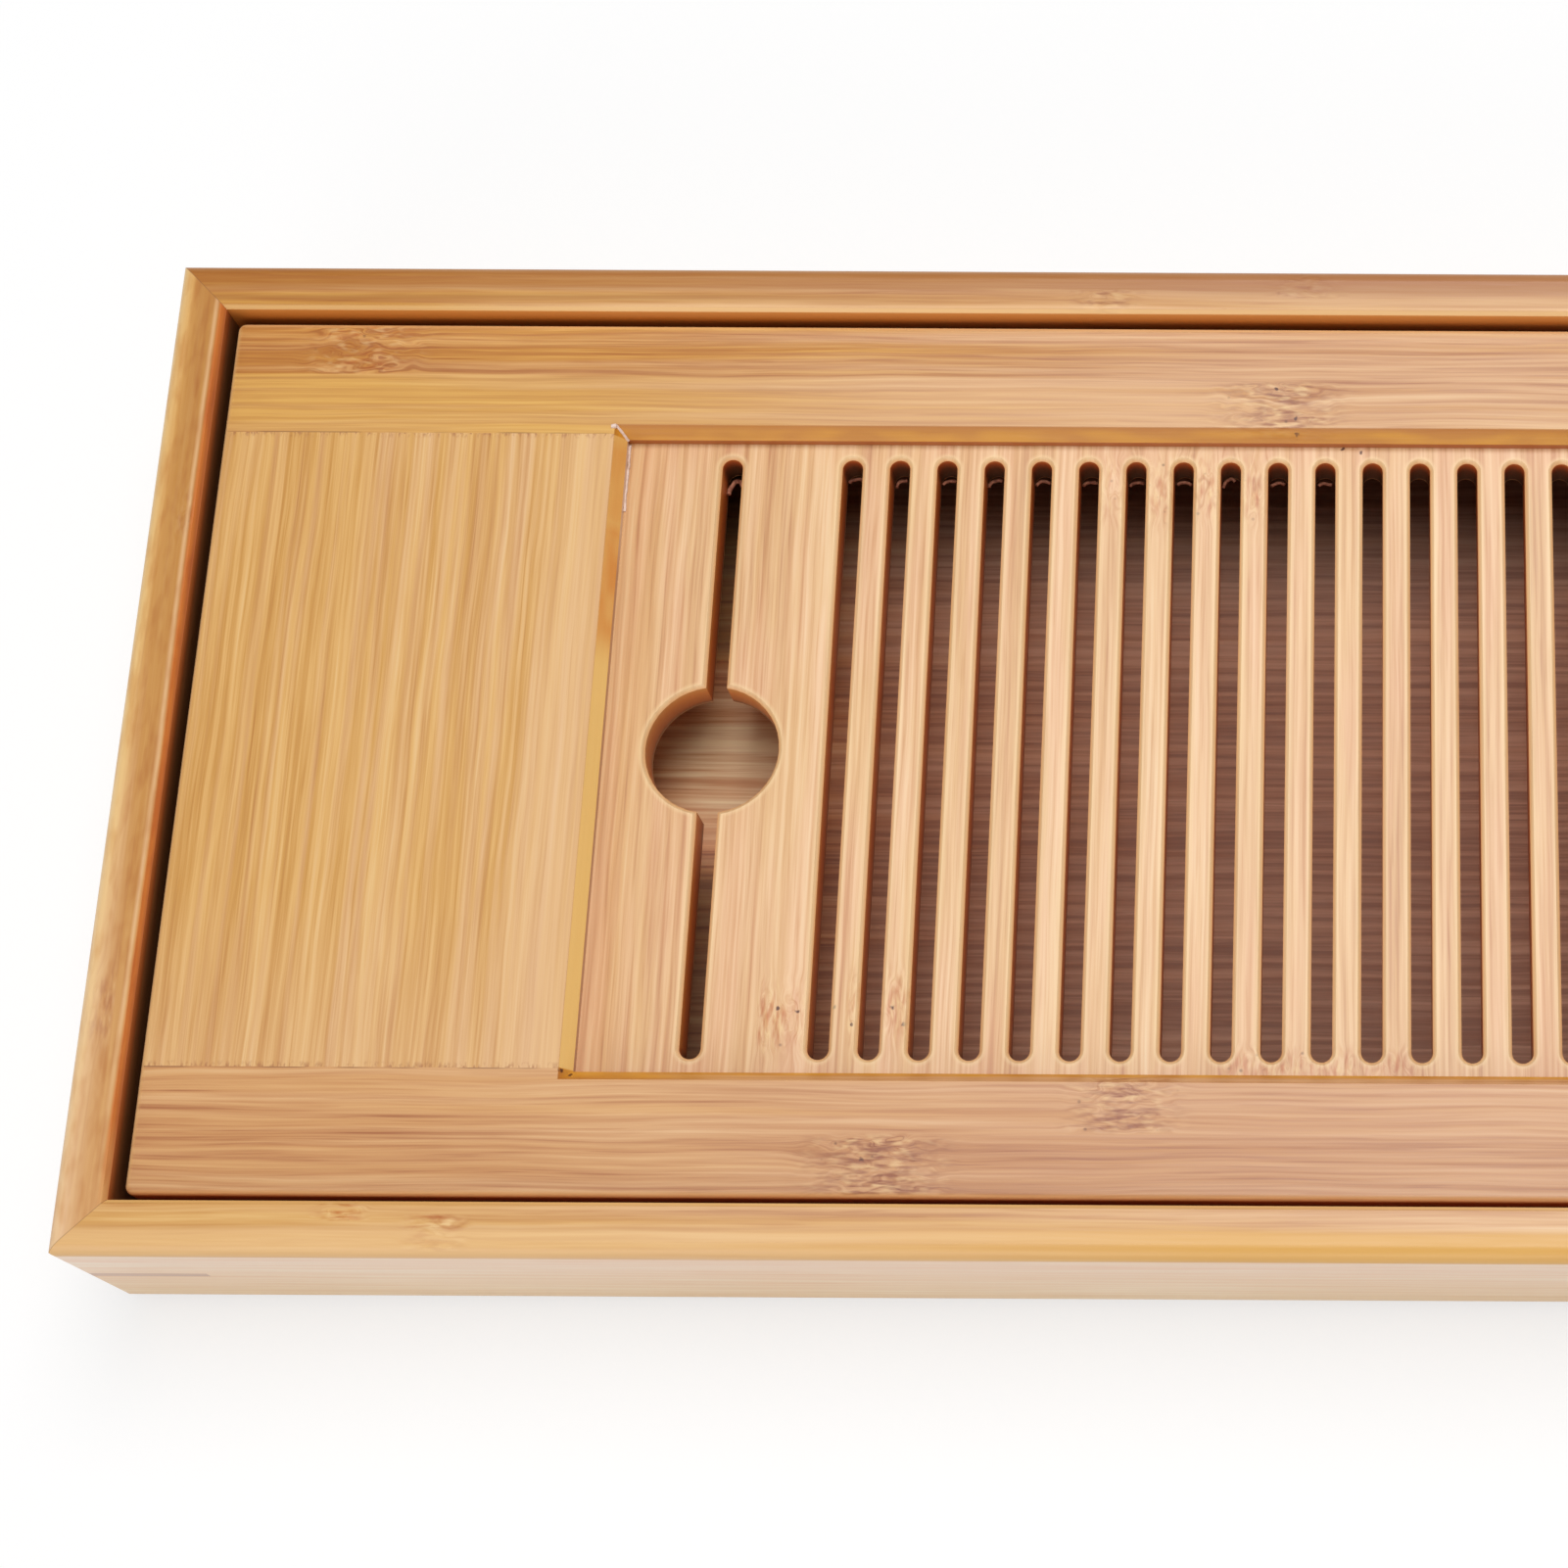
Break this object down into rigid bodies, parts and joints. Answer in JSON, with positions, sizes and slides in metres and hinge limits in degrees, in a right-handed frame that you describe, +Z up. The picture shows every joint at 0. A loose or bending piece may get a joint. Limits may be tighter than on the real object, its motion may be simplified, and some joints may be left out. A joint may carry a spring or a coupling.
{
  "type": "gongfu tea tray",
  "caption": "Long shallow bamboo tea tray: a mitred frame with a water basin under a lift-off lid whose recessed middle is slotted and has finger holes.",
  "frame": {"origin": "the middle of the footprint, at the level that the feet stand on", "axes": "+X along the tray to the right, +Y to the back, +Z up"},
  "size_m": [0.356, 0.149, 0.034],
  "materials": {
    "bamboo_frame": "satin lacquered bamboo, grain along each wall",
    "bamboo_ledge": "dull bamboo, grain along each strip",
    "bamboo_key": "dark bamboo key, sanded flush",
    "bamboo_board": "dull bamboo board, grain along the tray",
    "rubber_foot": "matt dark rubber",
    "bamboo_rail": "satin lacquered bamboo, grain along the rail",
    "bamboo_panel": "satin lacquered bamboo, fine grain across the tray",
    "bamboo_slotted": "satin lacquered bamboo, fine grain across the tray"
  },
  "bodies": {
    "tray": {"front_wall": "bamboo_frame", "back_wall": "bamboo_frame", "left_wall": "bamboo_frame", "right_wall": "bamboo_frame", "front_ledge": "bamboo_ledge", "back_ledge": "bamboo_ledge", "left_ledge": "bamboo_ledge", "right_ledge": "bamboo_ledge", "front_left_mitre_key": "bamboo_key", "front_right_mitre_key": "bamboo_key", "back_left_mitre_key": "bamboo_key", "back_right_mitre_key": "bamboo_key", "bottom_board": "bamboo_board", "front_left_foot": "rubber_foot", "front_right_foot": "rubber_foot", "back_left_foot": "rubber_foot", "back_right_foot": "rubber_foot"},
    "lid": {"front_rail": "bamboo_rail", "back_rail": "bamboo_rail", "left_end_panel": "bamboo_panel", "right_end_panel": "bamboo_panel", "slotted_panel": "bamboo_slotted"}
  },
  "joints": [
    {"name": "lid_lift", "type": "slide", "parent": "tray", "child": "lid", "axis": [0, 0, 1], "range_m": [0, 0.06]}
  ]
}
